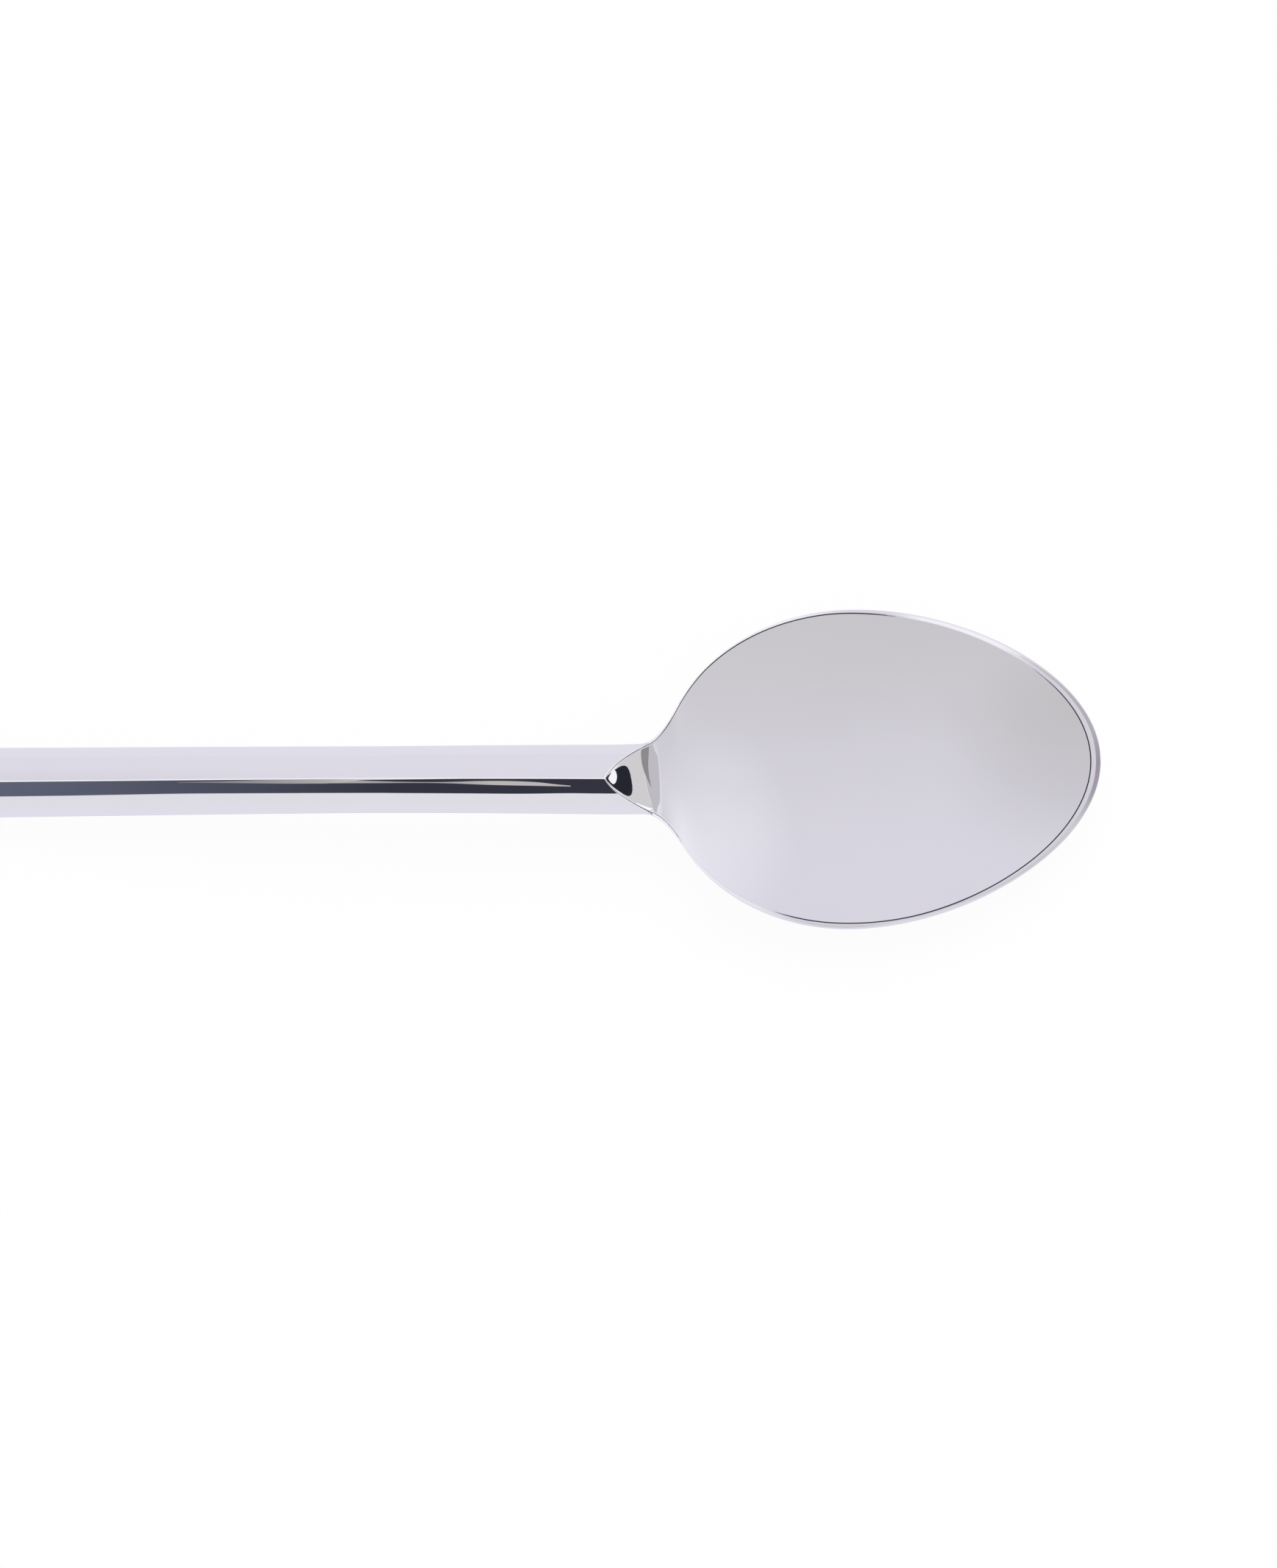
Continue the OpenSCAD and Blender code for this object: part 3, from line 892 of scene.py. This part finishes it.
def standing_card(name, centre, width, height, corner):
    """An upright card with rounded corners, which faces the bowl from past its tip."""
    bpy.ops.object.select_all(action="DESELECT")
    bpy.ops.mesh.primitive_plane_add(size=1, location=centre, rotation=(math.pi / 2, 0, math.pi / 2))
    card = bpy.context.object
    card.name = name
    card.scale = (width, height, 1)
    bpy.ops.object.transform_apply(location=True, rotation=True, scale=True)
    bpy.ops.object.mode_set(mode="EDIT")
    bpy.ops.mesh.select_all(action="SELECT")
    bpy.ops.mesh.bevel(offset=corner, segments=6, affect="VERTICES")
    bpy.ops.object.mode_set(mode="OBJECT")
    return card


handle_flag = beside_handle(
    "handle_flag", (-0.13, 15, 57), (-0.0725, 15, 57), (-0.0575, 15, 54), (-0.042, 15, 57),
    (-0.0265, 15, 60), (-0.0104, 15, 61), (-0.002, 15, 56), (0.007, 15, 60))
card_light(handle_flag, (0.15, 0.165, 0.23), (0.042, 0.044, 0.062), start=-0.055, end=0.0)
ridge_streak = beside_handle(
    "ridge_streak", (-0.058, 26, 27), (-0.050, 24.5, 28.5), (-0.042, 14, 30.5), (-0.0355, 12, 31),
    (-0.0335, 12, 24), (-0.029, 12, 22.5), (-0.024, 12, 21), (-0.0205, 12, 17.5), (-0.016, 12, 12.5),
    distance=0.0115)
card_light(ridge_streak, (0.24, 0.24, 0.28), (0.38, 0.365, 0.375), (0.56, 0.54, 0.53), (0.95, 0.95, 0.95),
           start=-0.029, end=0.002)
mouth_streak = beside_handle(
    "mouth_streak", (-0.037, 25, 30.4), (-0.032, 26.5, 31), (-0.027, 28.7, 30.6), (-0.021, 29, 30.4),
    (-0.0145, 26, 34), (-0.0095, 26.5, 35), (-0.005, 30, 36), (-0.0025, 36, 36.5), distance=0.0115)
card_light(mouth_streak, (0.56, 0.53, 0.53), (0.42, 0.4, 0.4), (0.64, 0.61, 0.58), start=-0.008, end=0.015)
handle_front_card = beside_handle("handle_front_card", (-0.13, 57, 100), (0.007, 57, 100), distance=0.0121)
card_light(handle_front_card, (0.95, 0.94, 0.97))
handle_ridge_card = beside_handle("handle_ridge_card", (-0.13, -18, 12), (0.007, -18, 12))
card_light(handle_ridge_card, (1.2, 1.2, 1.2))

far_x = 0.18
tip_flag = standing_card("tip_flag", (far_x, 0.0079, 0.0494), width=0.0266, height=0.0388, corner=0.0125)
card_light(tip_flag, (0.025, 0.027, 0.038))
lens_x = far_x - 0.005
lens_y = 0.005
lens_z = 0.0541
lens_half_width = 0.011
lens_half_height = 0.0029
lens_arch = 0.0045
lens_share = np.sin(np.linspace(-math.pi / 2, math.pi / 2, 41))[:, None]
lens_tall = lens_half_height * np.sqrt(1 - lens_share ** 2) * np.linspace(-1, 1, 5)
lens_rows = lens_z - lens_arch * lens_share ** 2 + lens_tall
lens_columns = np.broadcast_to(lens_y + lens_half_width * lens_share, lens_rows.shape)
lens_places = np.stack([np.full(lens_rows.shape, lens_x), lens_columns, lens_rows], axis=-1)
tip_lamp = laid_grid("tip_lamp", lens_places)
card_light(tip_lamp, (1.25, 1.25, 1.25))
corner_card = standing_card("corner_card", (far_x, 0.037, 0.0735), width=0.029, height=0.023, corner=0.004)
card_light(corner_card, (1.35, 1.35, 1.35))
pale_x = far_x + 0.003
pale_card = standing_card("pale_card", (pale_x, 0.0075, 0.068), width=0.075, height=0.026, corner=0.004)
card_light(pale_card, (0.851, 0.84, 0.822))
grey_card = standing_card("grey_card", (far_x, 0.005, 0.093), width=0.07, height=0.026, corner=0.002)
card_light(grey_card, (0.70, 0.69, 0.71))
dark_x = far_x - 0.002
dark_z = 0.0735
dark_end_y = 0.0115
dark_end_share = 0.05
dark_end_lift = 0.0092
dark_card = standing_card("dark_card", (dark_x, -0.0013, dark_z), width=0.0255, height=0.010, corner=0)
bpy.ops.object.mode_set(mode="EDIT")
bpy.ops.mesh.select_all(action="DESELECT")
bpy.ops.object.mode_set(mode="OBJECT")
for corner in dark_card.data.vertices:
    corner.select = corner.co.y > 0
bpy.ops.object.mode_set(mode="EDIT")
bpy.ops.transform.resize(value=(1, 1, dark_end_share), center_override=(far_x, dark_end_y, dark_z))
bpy.ops.transform.translate(value=(0, 0, dark_end_lift))
bpy.ops.object.mode_set(mode="OBJECT")
card_light(dark_card, (0.36, 0.355, 0.36))
round_x = 0.077
round_radius = 0.030
round_heights = np.linspace(0.0095, 0.0195, 8)
round_turns = np.radians(np.linspace(-40, 62, 60))[:, None]
round_columns = np.broadcast_arrays(round_x + round_radius * np.cos(round_turns),
                                    round_radius * np.sin(round_turns), round_heights)
tip_card = laid_grid("tip_card", np.stack(round_columns, axis=-1))
card_light(tip_card, (0.85, 0.83, 0.84), (0.50, 0.47, 0.53), (0.46, 0.40, 0.50), (0.58, 0.56, 0.60),
           (0.62, 0.60, 0.62), (0.80, 0.78, 0.80), axis="Y", start=-0.019, end=0.0265)

# One broad soft lamp high on the far side keeps the floor's shadow soft.
lamp_aim = Vector((0.03, 0, 0))
bpy.ops.object.light_add(type="AREA", location=(0.1, 0.35, 0.7))
lamp = bpy.context.object
lamp.name = "soft_lamp"
lamp.data.shape = "DISK"
lamp.data.size = 0.5
lamp.data.energy = 2.0
lamp.rotation_euler = (lamp_aim - lamp.location).to_track_quat("-Z", "Y").to_euler()
lamp.visible_glossy = False

# The camera looks down on the bowl and the front of the handle, a little from the near side.
view_tilt = math.radians(2.5)
view_roll = math.radians(-2.907)
view_target = Vector((0.032911, -0.000549, 0.010))
view_width = 0.160249
lens = 120.0
sensor = 36.0
back_axis = Vector((0, -math.sin(view_tilt), math.cos(view_tilt)))
level_axis = Vector((1, 0, 0))
right_axis = math.cos(view_roll) * level_axis + math.sin(view_roll) * back_axis.cross(level_axis)
up_axis = back_axis.cross(right_axis)
bpy.ops.object.camera_add()
camera = bpy.context.object
camera.name = "camera"
camera.data.lens = lens
camera.data.sensor_fit = "HORIZONTAL"
camera.data.sensor_width = sensor
camera.data.clip_start = 0.01
view_distance = lens * view_width / sensor
view_axes = Matrix((right_axis, up_axis, back_axis)).transposed().to_4x4()
camera.matrix_world = Matrix.Translation(view_target + back_axis * view_distance) @ view_axes
bpy.context.scene.camera = camera
bpy.context.scene.view_settings.view_transform = "Standard"
